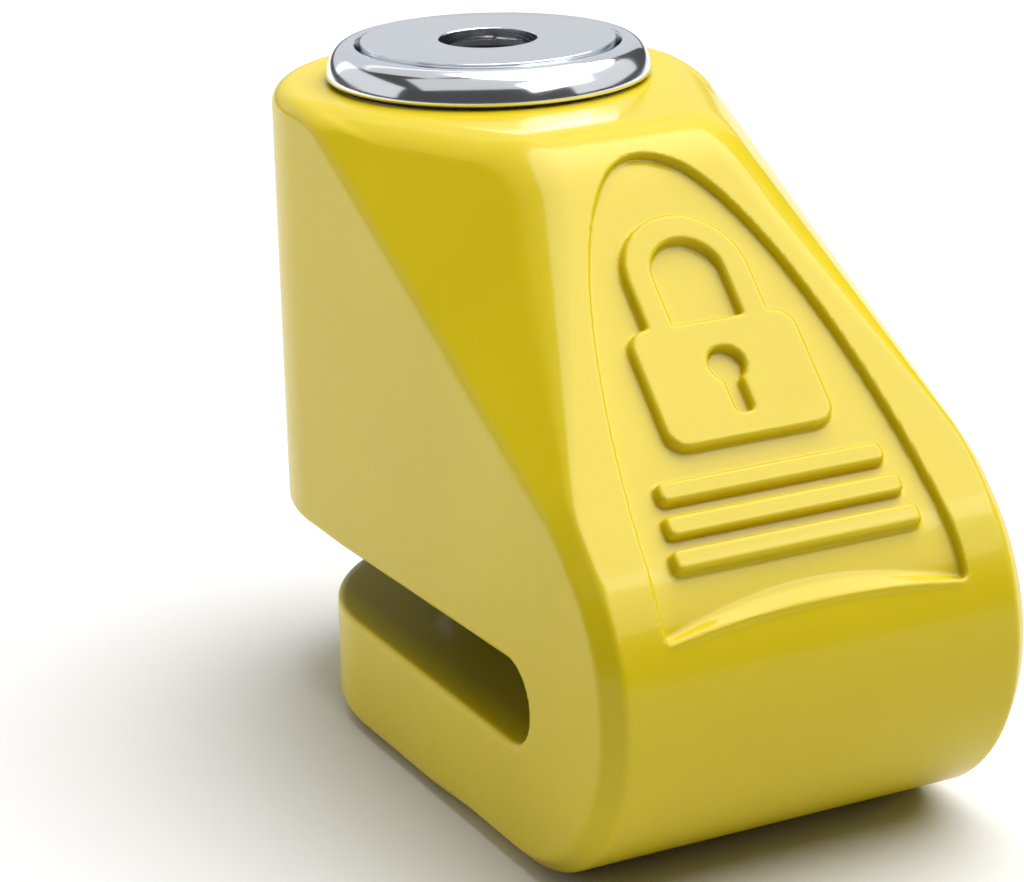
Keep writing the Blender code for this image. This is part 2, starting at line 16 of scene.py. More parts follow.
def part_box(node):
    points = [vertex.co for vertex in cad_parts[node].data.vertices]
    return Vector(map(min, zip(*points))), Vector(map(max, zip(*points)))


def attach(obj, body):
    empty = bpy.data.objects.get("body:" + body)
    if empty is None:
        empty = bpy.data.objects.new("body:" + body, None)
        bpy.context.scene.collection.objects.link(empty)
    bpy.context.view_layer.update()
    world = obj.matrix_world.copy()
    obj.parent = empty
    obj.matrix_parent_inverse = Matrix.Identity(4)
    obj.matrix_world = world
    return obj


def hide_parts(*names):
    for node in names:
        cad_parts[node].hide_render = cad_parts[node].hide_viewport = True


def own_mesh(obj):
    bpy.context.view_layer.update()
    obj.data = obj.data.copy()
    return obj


MM = 0.001

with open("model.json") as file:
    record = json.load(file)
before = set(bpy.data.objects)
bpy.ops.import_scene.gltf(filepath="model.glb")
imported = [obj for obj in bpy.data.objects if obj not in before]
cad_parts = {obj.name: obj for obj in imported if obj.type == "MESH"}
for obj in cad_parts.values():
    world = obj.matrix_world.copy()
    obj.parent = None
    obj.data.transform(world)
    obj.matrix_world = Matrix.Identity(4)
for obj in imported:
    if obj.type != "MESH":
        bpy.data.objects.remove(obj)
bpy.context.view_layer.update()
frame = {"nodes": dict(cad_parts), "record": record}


def node_mm(name):
    """A CAD node's lowest and highest corners in millimetres."""
    low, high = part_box(name)
    return np.array(low) / MM, np.array(high) / MM


# ---------------------------------------------------------------- sizes, read from the frame
HOUSING_LOW, HOUSING_HIGH = node_mm("housing")
HALF = HOUSING_HIGH[1]
TOP = HOUSING_HIGH[2]
NOSE_TIP = HOUSING_HIGH[0]
BEZEL_LOW, BEZEL_HIGH = node_mm("bezel_ring")
CAP_LOW, CAP_HIGH = node_mm("cylinder_cap")
PIN_R = node_mm("locking_pin")[1][0]
GUIDE_LOW, GUIDE_HIGH = node_mm("guide_bush")
RECEIVER_LOW, RECEIVER_HIGH = node_mm("receiver_bush")
GUARD_LOW, GUARD_HIGH = node_mm("drill_guard")
STOP_LOW, STOP_HIGH = node_mm("stop_pin_plug")
RETURN_LOW, RETURN_HIGH = node_mm("return_spring")
LATCH_SPRING_LOW, LATCH_SPRING_HIGH = node_mm("latch_spring")

# ---------------------------------------------------------------- the casting's shape
NOSE_R = 18.2
NOSE_X = NOSE_TIP - NOSE_R
SLOPE_SUM = NOSE_X + NOSE_R + NOSE_R * math.sqrt(2)
SHOULDER_R = 12.0
SLOPE_ANGLE = math.radians(45)
SLOT_FLOOR = 11.1
SLOT_ROOF_MOUTH = 17.0
SLOT_ROOF_END = 18.9
SLOT_END_X = 46.8
JAW_END_X = 11.0
FACET_POINT = np.array((8.4, -HALF, 56.1))
FACET_SLANT = np.array((0.319, -0.732, 0.603))
FACET_NORMAL = FACET_SLANT / np.linalg.norm(FACET_SLANT)
KEYHOLE_R = 4.7
CAP_WALL = 1.5
CAP_ROOF = 1.2
BLADE_HOLE_R = 4.2
BLADE_HOLE_FLAT = 2.9
BEZEL_FLARE = 2.6
BEZEL_CURL = 0.35
BEZEL_CURL_TALL = 0.4
BEZEL_FULLNESS = 0.7
BEZEL_LEAN = 0.6
BEZEL_GAP = 0.5
BEZEL_SEAT = 0.3
BEZEL_PLAY = 0.3
PANEL_TOP = 2.0
PANEL_BOTTOM = 45.2
PANEL_WIDE = 14.6
ARCH_FULLNESS = 1.6
PANEL_DEPTH = 0.9
PANEL_CORNER = 0.6
LEAN_LIMIT = 6
LIP_RAMP = 1.3
LIP_RAMP_END = 0.3
LIP_DROP = 0.7
LIP_BOW = 1.2
LIP_RISE = 0.5
LIP_ABOVE = 1.5
LIP_UNDER = 0.5
EMBLEM_RISE = 1.0
EMBLEM_ROOT = 1.5
EMBLEM_FILLET = 0.3
EMBLEM_FOOT = 0.12
PADLOCK_HALF = 8.2
PADLOCK_TOP = 19.4
PADLOCK_BOTTOM = 31.0
PADLOCK_CORNER = 2.0
EYE_R = 1.7
EYE_UP = 1.3
WARD_HALVES = (0.8, 2.2)
WARD_DOWN = 1.2
WARD_CORNER = 0.5
WARD_FILLET = 0.1
SHACKLE_R = 6.0
SHACKLE_HOLE_R = 3.4
SHACKLE_CENTRE = 14.7
BAR_HALVES = (11.0, 11.5, 12.0)
BAR_TOP = 33.6
BAR_THICK = 1.9
BAR_PITCH = 3.1
BAR_CORNER = 0.6
BORE_R = 12.6
BORE_FLOOR = 24.4
RECESS_R = 14.5
RECESS_FLOOR = 54.0
BUSH_HOLE_R = 7.6
RECEIVER_FLOOR = 3.9
BUSH_PLAY = 0.3
POCKET_NEAR = 5
POCKET_HALF = 3.4
POCKET_LOW, POCKET_HIGH = 37.0, 53
POCKET_DEEP, POCKET_SHALLOW = 14.8, 12.2
POCKET_RAMP_LOW = 40.8
POCKET_RAMP_TALL = 12
SPRING_TURNS = 3.5
RETURN_WIRE_R = 0.5
LATCH_WIRE_R = 0.25
STOP_Z = (STOP_LOW[2] + STOP_HIGH[2]) / 2
STOP_PIN_HOLE_R = 1.8
STOP_PLUG_HOLE_R = 2.8
STOP_PLUG_DEEP_X = -17.7
STOP_PIN_FILLET = 0.1
STOP_PLUG_FILLET = 0.3

SIDE_FILLET = 1.9
FACET_FILLET = 2.2
FACET_BLEND = 1.5
FACET_SOFT_X, FACET_CRISP_X = 34, 50
CREASE_FILLET = 0.5
NOSE_CHAMFER = 1.6
CHAMFER_EDGE = 0.2
CHAMFER_START_X, CHAMFER_FULL_X = 26, 34
SLOT_FILLET = 0.4
MOUTH_FILLET = 1.1
MOUTH_REACH = 8
BORE_FILLET = 0.4
PANEL_FILLET = 0.22
EDGE_BREAK = 0.08
SLOPE_SKIN = 6.0
FAR = 9.0
NO_LIMIT = -1e3
SLOPE_LIMIT = 0.2
SETTLE_SHARE = 0.4
GRID = 0.33


def fade(value, low, high):
    """How far a value is from low to high, from 0 to 1."""
    return np.clip((value - low) / (high - low), 0, 1)


def round_max(a, b, r):
    """The larger of two distances, with the edge where they meet rounded to radius r."""
    over = np.hypot(np.maximum(a + r, 0), np.maximum(b + r, 0))
    return np.minimum(np.maximum(a, b), -r) + over


def round_min(a, b, r):
    """The smaller of two distances, with the corner where they meet filled to radius r."""
    return -round_max(-a, -b, r)


def chamfer_max(a, b, width, r):
    """The larger of two distances, with a flat chamfer where they meet and soft edges on the chamfer."""
    flat = (a + b + width) / math.sqrt(2)
    return round_max(round_max(a, flat, r), b, r)


def profile_distance(x, z):
    """Signed distance to the side outline without its slot: top, shoulder, slope, nose and underside."""
    slope = (x + z - SLOPE_SUM) / math.sqrt(2)
    shoulder_x = SLOPE_SUM - TOP - SHOULDER_R * math.tan(SLOPE_ANGLE / 2)
    sx, sz = x - shoulder_x, z - (TOP - SHOULDER_R)
    shoulder = np.hypot(sx, sz) - SHOULDER_R
    upper = np.where((sx > 0) & (sz > sx), shoulder, np.maximum(slope, z - TOP))
    nx, nz = x - NOSE_X, z - NOSE_R
    nose = np.hypot(nx, nz) - NOSE_R
    return np.where((nx > 0) & (nz < nx), nose, np.maximum(upper, np.where(nx > 0, NO_LIMIT, -z)))


def plan_distance(x, y, centre):
    """Signed distance to the outline from above: flat sides, and a round back end about the centre."""
    round_end = np.hypot(x - centre, y) - HALF
    return np.where(x < centre, round_end, np.abs(y) - HALF)


def slot_distance(x, z):
    """Signed distance to the brake disc slot, negative inside it."""
    end_r = (SLOT_ROOF_END - SLOT_FLOOR) / 2
    centre_x = SLOT_END_X - end_r
    centre_z = SLOT_FLOOR + end_r
    share = (x - HOUSING_LOW[0]) / (centre_x - HOUSING_LOW[0])
    roof = SLOT_ROOF_MOUTH + (SLOT_ROOF_END - SLOT_ROOF_MOUTH) * share
    straight = np.maximum(SLOT_FLOOR - z, z - roof)
    return np.where(x < centre_x, straight, np.hypot(x - centre_x, z - centre_z) - end_r)


def arch_half_width(s):
    """Half the panel's width at a distance s down the slope."""
    share = np.clip((s - PANEL_TOP) / (PANEL_BOTTOM - PANEL_TOP), 0, 1)
    return PANEL_WIDE * np.sqrt(1 - (1 - share) ** ARCH_FULLNESS)


def lip_middle(y):
    """How strongly the panel's lower lip shows: full in the middle, nothing at the panel's corners."""
    return np.clip(1 - (y / PANEL_WIDE) ** 2, 0, 1)


def lip_line(y):
    """The distance down the slope at which the panel's ramped lower wall reaches the surface."""
    return PANEL_BOTTOM + LIP_DROP + LIP_BOW * (1 - lip_middle(y))


def recess_distance(y, s, profile):
    """Signed distance to the sunk arch panel, whose lower wall is a shallow ramp, deepest in its middle."""
    wide = arch_half_width(s)
    step = 0.2
    lean = (arch_half_width(s + step) - arch_half_width(s - step)) / (2 * step)
    side = (np.abs(y) - wide) / np.sqrt(1 + np.minimum(lean, LEAN_LIMIT) ** 2)
    run = (LIP_RAMP_END + LIP_RAMP * lip_middle(y)) / PANEL_DEPTH
    ramp = (s - lip_line(y) - run * profile) / np.sqrt(1 + run**2)
    walls = round_max(np.maximum(PANEL_TOP - s, side), ramp, PANEL_CORNER)
    return round_max(walls, -(profile + PANEL_DEPTH), PANEL_FILLET)


def lip_rise(y, s):
    """The lip's soft crest stands a little above the nose, with a crease under it."""
    from_line = s - lip_line(y)
    away = from_line / np.where(from_line < 0, LIP_ABOVE, LIP_UNDER)
    return LIP_RISE * lip_middle(y) ** 0.5 * np.exp(-away * away)


def rounded_box(y, s, centre, half, r):
    """Signed distance to a rectangle with round corners, across the slope and down it."""
    dy = np.abs(y) - half[0] + r
    ds = np.abs(s - centre) - half[1] + r
    return np.hypot(np.maximum(dy, 0), np.maximum(ds, 0)) + np.minimum(np.maximum(dy, ds), 0) - r


def emblem_distance(y, s):
    """A padlock picture over three plain bars."""
    middle = (PADLOCK_TOP + PADLOCK_BOTTOM) / 2
    tall = (PADLOCK_BOTTOM - PADLOCK_TOP) / 2
    body = rounded_box(y, s, middle, (PADLOCK_HALF, tall), PADLOCK_CORNER)
    eye = np.hypot(y, s - middle + EYE_UP) - EYE_R
    ward = rounded_box(y, s, middle + WARD_DOWN, WARD_HALVES, WARD_CORNER)
    body = round_max(body, -np.minimum(eye, ward), WARD_FILLET)
    mean = (SHACKLE_R + SHACKLE_HOLE_R) / 2
    thick = (SHACKLE_R - SHACKLE_HOLE_R) / 2
    ring = np.abs(np.hypot(y, s - SHACKLE_CENTRE) - mean) - thick
    legs = np.maximum(np.abs(np.abs(y) - mean) - thick, s - middle)
    shape = np.minimum(body, np.where(s < SHACKLE_CENTRE, ring, legs))
    for number, half in enumerate(BAR_HALVES):
        centre = BAR_TOP + BAR_THICK / 2 + BAR_PITCH * number
        shape = np.minimum(shape, rounded_box(y, s, centre, (half, BAR_THICK / 2), BAR_CORNER))
    return shape


def housing_distance(x, y, z):
    """Signed distance to the whole casting, in millimetres."""
    side = np.abs(y)
    profile = profile_distance(x, z)
    along = (x - z + 2 * TOP - SLOPE_SUM) / math.sqrt(2)

    on_slope = (x + z - SLOPE_SUM) / math.sqrt(2) > -SLOPE_SKIN
    recess = np.where(on_slope, recess_distance(y, along, profile), FAR)
    lip = np.where(on_slope, lip_rise(y, along), 0)
    front = round_max(profile - lip, -recess, PANEL_FILLET)
    raised = round_max(emblem_distance(y, along), profile + PANEL_DEPTH - EMBLEM_RISE, EMBLEM_FILLET)
    picture = np.where(on_slope, np.maximum(raised, -(profile + PANEL_DEPTH + EMBLEM_ROOT)), FAR)
    front = round_min(front, picture, EMBLEM_FOOT)

    middle = (SLOT_FLOOR + SLOT_ROOF_MOUTH) / 2
    plan = np.where(z < middle, plan_distance(x, y, JAW_END_X), plan_distance(x, y, 0))
    facet = (x - FACET_POINT[0]) * FACET_NORMAL[0] + (side - HALF) * -FACET_NORMAL[1]
    facet = facet + (z - FACET_POINT[2]) * FACET_NORMAL[2]
    rounded = round_max(front, plan, SIDE_FILLET)
    chamfered = chamfer_max(front, plan, NOSE_CHAMFER, CHAMFER_EDGE)
    noseward = fade(x, CHAMFER_START_X, CHAMFER_FULL_X)
    body = rounded + (chamfered - rounded) * noseward
    frontward = fade(front - plan, -FACET_BLEND, FACET_BLEND)
    soft = frontward * (1 - fade(x, FACET_SOFT_X, FACET_CRISP_X))
    body = round_max(body, facet, CREASE_FILLET + (FACET_FILLET - CREASE_FILLET) * soft)

    mouth = 1 - fade(x, -MOUTH_REACH, MOUTH_REACH)
    slot_r = SLOT_FILLET + (MOUTH_FILLET - SLOT_FILLET) * mouth
    body = round_max(body, -slot_distance(x, z), slot_r)

    reach = np.hypot(x, y)
    body = round_max(body, -np.maximum(reach - RECESS_R, RECESS_FLOOR - z), BORE_FILLET)
    body = round_max(body, -np.maximum(reach - BORE_R, BORE_FLOOR - z), BORE_FILLET)
    bush = np.maximum(reach - BUSH_HOLE_R, RECEIVER_FLOOR - z)
    body = round_max(body, -bush, BORE_FILLET)

    share = fade(z, POCKET_RAMP_LOW, POCKET_RAMP_LOW + POCKET_RAMP_TALL)
    wall = POCKET_DEEP - share * (POCKET_DEEP - POCKET_SHALLOW)
    along_x = np.maximum(x - wall, POCKET_NEAR - x)
    along_z = np.maximum(POCKET_LOW - z, z - POCKET_HIGH)
    pocket = np.maximum(along_x, np.maximum(side - POCKET_HALF, along_z))
    body = np.maximum(body, -pocket)

    hole = np.hypot(y, z - STOP_Z)
    body = round_max(body, -np.maximum(hole - STOP_PIN_HOLE_R, x), STOP_PIN_FILLET)
    return round_max(body, -np.maximum(hole - STOP_PLUG_HOLE_R, x - STOP_PLUG_DEEP_X), STOP_PLUG_FILLET)


def surface_net(distance, low, high, step):
    """Points and quads of the distance field's zero surface, one point in each cell that it crosses."""
    axes = [np.arange(a, b + step, step) for a, b in zip(low, high)]
    x, y, z = np.meshgrid(*axes, indexing="ij", sparse=True)
    field = distance(x, y, z).astype(np.float32)
    inside = field < 0
    cells = np.zeros([n - 1 for n in field.shape], np.int8)
    for corner in np.ndindex(2, 2, 2):
        window = tuple(slice(start, start + length) for start, length in zip(corner, cells.shape))
        cells += inside[window]
    used = (cells > 0) & (cells < 8)
    index = np.full(cells.shape, -1, np.int64)
    index[used] = np.arange(used.sum())
    where = np.argwhere(used)
    total = np.zeros((len(where), 3))
    count = np.zeros(len(where))
    corners = [np.array(c) for c in np.ndindex(2, 2, 2)]
    for a in corners:
        for axis in range(3):
            if a[axis]:
                continue
            b = a.copy()
            b[axis] = 1
            fa = field[tuple((where + a).T)]
            fb = field[tuple((where + b).T)]
            crossed = (fa < 0) != (fb < 0)
            share = np.where(crossed, fa / np.where(crossed, fa - fb, 1), 0)
            spot = where + a + share[:, None] * (b - a)
            total += spot * crossed[:, None]
            count += crossed
    points = np.array(low) + total / count[:, None] * step
    quads = []
    for axis in range(3):
        p, q = (axis + 1) % 3, (axis + 2) % 3
        first = [slice(1, -1)] * 3
        second = [slice(1, -1)] * 3
        first[axis] = slice(0, -1)
        second[axis] = slice(1, None)
        edge_in = inside[tuple(first)]
        edge_next = inside[tuple(second)]
        spots = np.argwhere(edge_in != edge_next)
        leaving = edge_in[tuple(spots.T)]
        base = spots + 1
        base[:, axis] -= 1
        ring = []
        for dp, dq in ((0, 0), (1, 0), (1, 1), (0, 1)):
            cell = base.copy()
            cell[:, p] -= dp
            cell[:, q] -= dq
            ring.append(index[tuple(cell.T)])
        face = np.stack(ring, 1)
        face[~leaving] = face[~leaving][:, ::-1]
        quads.append(face)
    return points, np.concatenate(quads)


def gradient(distance, points, reach=0.02):
    """The distance field's slope at each point, from samples a short reach to either side."""
    found = np.zeros_like(points)
    for axis in range(3):
        ahead, behind = points.copy(), points.copy()
        ahead[:, axis] += reach
        behind[:, axis] -= reach
        found[:, axis] = (distance(*ahead.T) - distance(*behind.T)) / (2 * reach)
    return found


def settle(distance, points, step, rounds=4):
    """Moves each point along the gradient onto the zero surface, by less than a cell each round."""
    for _ in range(rounds):
        slope = gradient(distance, points)
        square = np.maximum((slope**2).sum(1), SLOPE_LIMIT)
        move = -(distance(*points.T) / square)[:, None] * slope
        size = np.linalg.norm(move, axis=1, keepdims=True)
        points = points + move * np.minimum(1, SETTLE_SHARE * step / np.maximum(size, 1e-9))
    return points


def mesh_object(name, points, faces, smooth_angle=None):
    mesh = bpy.data.meshes.new(name)
    mesh.from_pydata((points * MM).tolist(), [], faces)
    mesh.validate()
    mesh.shade_smooth()
    if smooth_angle:
        mesh.set_sharp_from_angle(angle=math.radians(smooth_angle))
    made = bpy.data.objects.new(name, mesh)
    bpy.context.collection.objects.link(made)
    return made


def make_housing():
    low = HOUSING_LOW - 2 * GRID
    high = HOUSING_HIGH + 2 * GRID
    points, quads = surface_net(housing_distance, low, high, GRID)
    points = settle(housing_distance, points, GRID)
    points = np.clip(points, HOUSING_LOW, HOUSING_HIGH)
    return mesh_object("painted_casting", points, quads.tolist())


# ---------------------------------------------------------------- turned pieces
def fillet_chain(corners, steps=5):
    """A profile of (radius, height, fillet) corners as points, each fillet an arc."""
    points = []
    total = len(corners)
    for i, (r, z, fillet) in enumerate(corners):
        here = np.array((r, z), float)
        if not fillet:
            points.append(here)
            continue
        before = np.array(corners[i - 1][:2], float) - here
        after = np.array(corners[(i + 1) % total][:2], float) - here
        before /= np.linalg.norm(before)
        after /= np.linalg.norm(after)
        half = math.acos(float(np.clip(before @ after, -1, 1))) / 2
        reach = fillet / math.tan(half)
        middle = (before + after) / np.linalg.norm(before + after)
        centre = here + middle * fillet / math.sin(half)
        start = here + before * reach - centre
        end = here + after * reach - centre
        for k in range(steps + 1):
            share = k / steps
            direction = start * (1 - share) + end * share
            points.append(centre + direction / np.linalg.norm(direction) * fillet)
    return points


def lathe(name, corners, steps=160, place=None, smooth_angle=38):
    """A turned piece from a closed profile that runs round the section, spun about Z."""
    profile = fillet_chain(corners)
    turns = np.linspace(0, 2 * math.pi, steps, endpoint=False)
    rings = np.array([[(r * math.cos(t), r * math.sin(t), z) for r, z in profile] for t in turns])
    count = len(profile)
    faces = []
    for i in range(steps):
        j = (i + 1) % steps
        for k in range(count):
            m = (k + 1) % count
            faces.append((i * count + k, j * count + k, j * count + m, i * count + m))
    bm = bmesh.new()
    verts = [bm.verts.new(p * MM) for p in rings.reshape(-1, 3)]
    for face in faces:
        bm.faces.new([verts[n] for n in face])
    bmesh.ops.remove_doubles(bm, verts=bm.verts, dist=1e-7)
    bmesh.ops.dissolve_degenerate(bm, edges=bm.edges, dist=1e-8)
    bmesh.ops.recalc_face_normals(bm, faces=bm.faces)
    if place is not None:
        bmesh.ops.transform(bm, matrix=place, verts=bm.verts)
    mesh = bpy.data.meshes.new(name)
    bm.to_mesh(mesh)
    bm.free()
    mesh.shade_smooth()
    mesh.set_sharp_from_angle(angle=math.radians(smooth_angle))
    made = bpy.data.objects.new(name, mesh)
    bpy.context.collection.objects.link(made)
    return made


def make_bezel():
    """A rolled ring: round over its crest, curled under at the foot, on a plain skirt in the recess."""
    inner = CAP_HIGH[0] + BEZEL_GAP
    skirt = RECESS_R - BEZEL_PLAY
    outer = BEZEL_HIGH[0]
    low, seat, top = BEZEL_LOW[2], TOP + BEZEL_SEAT, BEZEL_HIGH[2]
    equator = seat + BEZEL_CURL_TALL
    crest = outer - BEZEL_FLARE
    profile = [(inner, low, 0.1), (skirt, low, 0.2), (skirt, seat, 0)]
    for k in range(-9, 0):
        turn = math.radians(10 * k)
        reach = outer - BEZEL_CURL * (1 - math.cos(turn))
        profile.append((reach, equator + BEZEL_CURL_TALL * math.sin(turn), 0))
    for k in range(31):
        turn = math.radians(3 * k)
        across = max(math.cos(turn), 0) ** BEZEL_FULLNESS
        up = math.sin(turn) ** BEZEL_FULLNESS
        flare = BEZEL_FLARE - BEZEL_LEAN * up
        profile.append((crest + flare * across, equator + (top - equator) * up, 0))
    profile += [(inner + 0.12, top - 0.04, 0), (inner, top - 0.3, 0)]
    return lathe("bezel_chrome", profile, steps=192)


def make_cap():
    outer = CAP_HIGH[0]
    inside = outer - CAP_WALL
    low, top = CAP_LOW[2], CAP_HIGH[2]
    under = top - CAP_ROOF
    profile = [(KEYHOLE_R, under, 0.1), (inside, under, 0.3), (inside, low, 0.1), (outer, low, 0.2)]
    profile += [(outer, top, 0.07), (KEYHOLE_R, top, 0.14)]
    return lathe("cap_chrome", profile, steps=192)


def make_bush(name, low, high):
    """A ground hardened bush with a lead-in at both ends of its bore."""
    outer = high[0]
    bore = PIN_R + BUSH_PLAY
    profile = [(bore, low[2], 0.35), (outer, low[2], 0.2), (outer, high[2], 0.2), (bore, high[2], 0.35)]
    return lathe(name, profile, steps=128)


def make_stop_plug():
    """The slightly domed plug that closes the stop pin's hole at the back."""
    near, far = -STOP_HIGH[0], -STOP_LOW[0]
    radius = STOP_HIGH[1]
    profile = [(0, near, 0), (radius, near, 0.2), (radius, far - 0.15, 0.25), (0, far, 0)]
    place = Matrix.Translation((0, 0, STOP_Z * MM)) @ Matrix.Rotation(math.radians(-90), 4, "Y")
    return lathe("stop_plug_fine", profile, steps=64, place=place)


def make_drill_guard():
    """The hardened disc under the keyhole, with the double-D hole for the key's blade."""
    outer = GUARD_HIGH[0]
    low, high = GUARD_LOW[2], GUARD_HIGH[2]
    chamfer = 0.15
    rows = []
    for turn in np.linspace(0, 2 * math.pi, 144, endpoint=False):
        hole = min(BLADE_HOLE_R, BLADE_HOLE_FLAT / max(abs(math.sin(turn)), 1e-6))
        section = [(outer, low), (outer, high - chamfer), (outer - chamfer, high), (hole + chamfer, high)]
        section += [(hole, high - chamfer), (hole, low)]
        rows.append([(r * math.cos(turn), r * math.sin(turn), z) for r, z in section])
    points = np.array(rows).reshape(-1, 3)
    count, total = len(rows[0]), len(rows)
    faces = []
    for i in range(total):
        j = (i + 1) % total
        for k in range(count):
            m = (k + 1) % count
            faces.append((i * count + k, j * count + k, j * count + m, i * count + m))
    return mesh_object("drill_guard_fine", points, faces, smooth_angle=30)


# ---------------------------------------------------------------- springs
def coil_mesh(coil_r, wire_r, low, high):
    """Points and faces of a round-wire compression spring about Z, its wire's ends cut flat."""
    count, sides = 170, 12
    share = np.linspace(0, 1, count)
    turn = 2 * math.pi * SPRING_TURNS * share
    outward = np.stack([np.cos(turn), np.sin(turn), np.zeros(count)], 1)
    centre = outward * coil_r
    centre[:, 2] = low + wire_r + (high - low - 2 * wire_r) * share
    ahead = np.gradient(centre, axis=0)
    ahead /= np.linalg.norm(ahead, axis=1, keepdims=True)
    upward = np.cross(ahead, outward)
    angle = np.linspace(0, 2 * math.pi, sides, endpoint=False)[None, :, None]
    around = outward[:, None] * np.cos(angle) + upward[:, None] * np.sin(angle)
    points = (centre[:, None] + wire_r * around).reshape(-1, 3)
    faces = [list(range(sides))[::-1], list(range((count - 1) * sides, count * sides))]
    for i in range(count - 1):
        for k in range(sides):
            m = (k + 1) % sides
            faces.append([i * sides + k, i * sides + m, (i + 1) * sides + m, (i + 1) * sides + k])
    return points, faces


def make_return_spring():
    coil_r = RETURN_HIGH[0] - RETURN_WIRE_R
    points, faces = coil_mesh(coil_r, RETURN_WIRE_R, RETURN_LOW[2], RETURN_HIGH[2])
    return mesh_object("return_spring_fine", points, faces, smooth_angle=40)


def make_latch_spring():
    """The spring behind the latch bolt lies along X."""
    middle = (LATCH_SPRING_LOW[2] + LATCH_SPRING_HIGH[2]) / 2
    coil_r = LATCH_SPRING_HIGH[2] - middle - LATCH_WIRE_R
    points, faces = coil_mesh(coil_r, LATCH_WIRE_R, -LATCH_SPRING_HIGH[0], -LATCH_SPRING_LOW[0])
    x, y, z = points.T
    turned = np.stack([-z, y, x + middle], 1)
    return mesh_object("latch_spring_fine", turned, faces, smooth_angle=40)


def squash_latch_spring(spring):
    """Gives the spring its own copy of its mesh; its shape stays as made."""
    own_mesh(spring)


# ---------------------------------------------------------------- materials
PAINT_DEEP = (0.61, 0.47, 0.002)
PAINT_PALE = (0.65, 0.505, 0.003)
# The next colour is painted shade for the inside of the brake disc slot. The two numbers after it are how
# far in from the open sides that shade starts and reaches full strength, in millimetres.
SLOT_SHADE_COLOUR = (0.30, 0.27, 0.03)
SLOT_SHADE_START, SLOT_SHADE_FULL = 0.5, 3.5


def new_material(name):
    made = bpy.data.materials.new(name)
    made.use_nodes = True
    tree = made.node_tree
    return made, tree, tree.nodes["Principled BSDF"]


def node(tree, kind, inputs=None, **settings):
    made = tree.nodes.new(kind)
    for key, value in settings.items():
        setattr(made, key, value)
    for key, value in (inputs or {}).items():
        if isinstance(value, bpy.types.NodeSocket):
            tree.links.new(value, made.inputs[key])
        else:
            made.inputs[key].default_value = value
    return made


def object_coords(tree):
    return tree.nodes.new("ShaderNodeTexCoord").outputs["Object"]


def ramp(tree, value, stops):
    made = node(tree, "ShaderNodeValToRGB", {"Fac": value})
    elements = made.color_ramp.elements
    while len(elements) < len(stops):
        elements.new(0.5)
    for element, (place, colour) in zip(elements, stops):
        element.position = place
        element.color = (*colour, 1)
    return made.outputs["Color"]


def grey(value):
    return (value, value, value)


def set_range(target, low, high):
    """Makes a Map Range node fade from 0 at low to 1 at high."""
    target.inputs["From Min"].default_value = low
    target.inputs["From Max"].default_value = high


def multiply(tree, a, b):
    return node(tree, "ShaderNodeMath", {0: a.outputs[0], 1: b.outputs[0]}, operation="MULTIPLY")


def add_bump(tree, shader, height, strength, distance):
    """Roughens a shader's normal by a height between 0 and 1."""
    bump = node(tree, "ShaderNodeBump", {"Height": height, "Strength": strength, "Distance": distance})
    tree.links.new(bump.outputs["Normal"], shader.inputs["Normal"])


def yellow_paint():
    """Gloss enamel with faint clouding and orange peel, and painted shade inside the slot that darkens in
    from its open sides.
    """
    made, tree, shader = new_material("yellow_gloss_paint")
    coords = object_coords(tree)
    cloud = node(tree, "ShaderNodeTexNoise", {"Vector": coords, "Scale": 45.0, "Detail": 3.0})
    tint = ramp(tree, cloud.outputs["Fac"], [(0.3, PAINT_DEEP), (0.7, PAINT_PALE)])
    # Painted shade: between the slot's floor and roof and short of its round end, the base colour turns
    # dark olive. It starts 0.5 mm in from the open sides and is full 3.5 mm in.
    place = node(tree, "ShaderNodeSeparateXYZ", {"Vector": coords})
    floor = node(tree, "ShaderNodeMapRange", {"Value": place.outputs["Z"]})
    set_range(floor, (SLOT_FLOOR - 0.2) * MM, (SLOT_FLOOR + 0.1) * MM)
    roof = node(tree, "ShaderNodeMapRange", {"Value": place.outputs["Z"]})
    set_range(roof, (SLOT_ROOF_END + 0.5) * MM, (SLOT_ROOF_END - 0.3) * MM)
    depth = node(tree, "ShaderNodeMath", {0: place.outputs["Y"]}, operation="ABSOLUTE")
    shade_inward = node(tree, "ShaderNodeMapRange", {"Value": depth.outputs[0]})
    set_range(shade_inward, (HALF - SLOT_SHADE_START) * MM, (HALF - SLOT_SHADE_FULL) * MM)
    end = node(tree, "ShaderNodeMapRange", {"Value": place.outputs["X"]})
    set_range(end, (SLOT_END_X + 1) * MM, (SLOT_END_X + 0.5) * MM)
    upright = multiply(tree, floor, roof)
    between = multiply(tree, upright, end)
    inside = multiply(tree, between, shade_inward)
    mix = node(tree, "ShaderNodeMix", {"Factor": inside.outputs[0]}, data_type="RGBA")
    tree.links.new(tint, mix.inputs[6])
    mix.inputs[7].default_value = (*SLOT_SHADE_COLOUR, 1)
    tree.links.new(mix.outputs[2], shader.inputs["Base Color"])
    peel = node(tree, "ShaderNodeTexNoise", {"Vector": coords, "Scale": 420.0, "Detail": 2.0})
    add_bump(tree, shader, peel.outputs["Fac"], 0.05, 0.0004)
    shader.inputs["Roughness"].default_value = 0.4
    shader.inputs["Specular IOR Level"].default_value = 0.12
    shader.inputs["Coat Weight"].default_value = 0.4
    shader.inputs["Coat Roughness"].default_value = 0.12
    return made


def chrome():
    made, tree, shader = new_material("polished_chrome")
    coords = object_coords(tree)
    haze = node(tree, "ShaderNodeTexNoise", {"Vector": coords, "Scale": 160.0, "Detail": 4.0})
    rough = ramp(tree, haze.outputs["Fac"], [(0.3, grey(0.10)), (0.8, grey(0.16))])
    tree.links.new(rough, shader.inputs["Roughness"])
    shader.inputs["Base Color"].default_value = (0.78, 0.81, 0.85, 1)
    shader.inputs["Metallic"].default_value = 1.0
    return made


